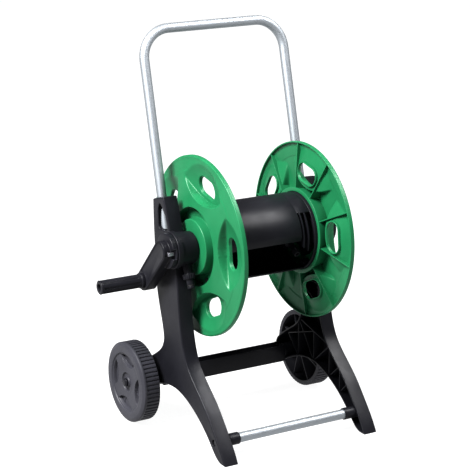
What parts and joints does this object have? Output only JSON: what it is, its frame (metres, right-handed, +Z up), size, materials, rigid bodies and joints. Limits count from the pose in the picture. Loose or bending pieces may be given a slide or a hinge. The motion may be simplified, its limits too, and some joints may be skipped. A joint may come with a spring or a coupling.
{
  "type": "garden hose reel cart",
  "caption": "Wheeled cart with an upright tube handle and a hand-cranked reel that winds, stores and feeds a garden hose.",
  "frame": {"origin": "on the floor, under the middle of the whole object's box", "axes": "+Z up, +X along the reel's axis away from the crank, -Y towards the feet (the front), +Y towards the wheels and the handle"},
  "size_m": [0.551, 0.406, 0.823],
  "materials": {
    "frame_plastic": "charcoal black moulded polypropylene, satin",
    "flange_plastic": "mid green moulded polypropylene, light sheen",
    "tube_steel": "galvanised steel tube, satin",
    "screw_steel": "zinc plated",
    "wheel_plastic": "charcoal black moulded polypropylene, satin",
    "seal_rubber": "black nitrile",
    "bush_acetal": "natural acetal"
  },
  "bodies": {
    "cart": {"side_frame_left": "frame_plastic", "side_frame_right": "frame_plastic", "handle_tube": "tube_steel", "handle_plugs": "frame_plastic", "handle_screws": "screw_steel", "crossbar": "frame_plastic", "crossbar_screws": "screw_steel", "foot_bar": "tube_steel", "bar_collars": "frame_plastic", "bar_plugs": "frame_plastic", "bar_screws": "screw_steel", "wheel_axle": "tube_steel", "axle_washers": "screw_steel", "axle_cap_left": "frame_plastic", "axle_cap_right": "frame_plastic", "bush_left": "bush_acetal", "bush_right": "bush_acetal", "inlet_nipple": "frame_plastic", "inlet_collar": "frame_plastic", "inlet_seal": "seal_rubber"},
    "reel": {"flange_left": "flange_plastic", "flange_right": "flange_plastic", "drum_upper": "frame_plastic", "drum_lower": "frame_plastic", "drum_screws": "screw_steel", "crank_shaft": "frame_plastic", "shaft_seals": "seal_rubber", "stub_shaft": "frame_plastic", "shaft_screws": "screw_steel", "water_pipe": "frame_plastic", "hose_tail": "frame_plastic", "hose_tail_nut": "frame_plastic", "crank_arm": "frame_plastic", "crank_key": "screw_steel", "grip_bolt": "screw_steel", "grip_nut": "screw_steel"},
    "grip": {"crank_grip": "frame_plastic"},
    "left_wheel": {"wheel_left": "wheel_plastic"},
    "right_wheel": {"wheel_right": "wheel_plastic"}
  },
  "joints": [
    {"name": "reel_spin", "type": "hinge", "parent": "cart", "child": "reel", "pos_m": [0.038, -0.004, 0.3955], "axis": [1, 0, 0], "continuous": true},
    {"name": "grip_spin", "type": "hinge", "parent": "reel", "child": "grip", "pos_m": [-0.227, 0.07034, 0.31716], "axis": [1, 0, 0], "continuous": true},
    {"name": "wheel_left_spin", "type": "hinge", "parent": "cart", "child": "left_wheel", "pos_m": [-0.1775, 0.118, 0.085], "axis": [1, 0, 0], "continuous": true},
    {"name": "wheel_right_spin", "type": "hinge", "parent": "cart", "child": "right_wheel", "pos_m": [0.2535, 0.118, 0.085], "axis": [1, 0, 0], "continuous": true}
  ]
}
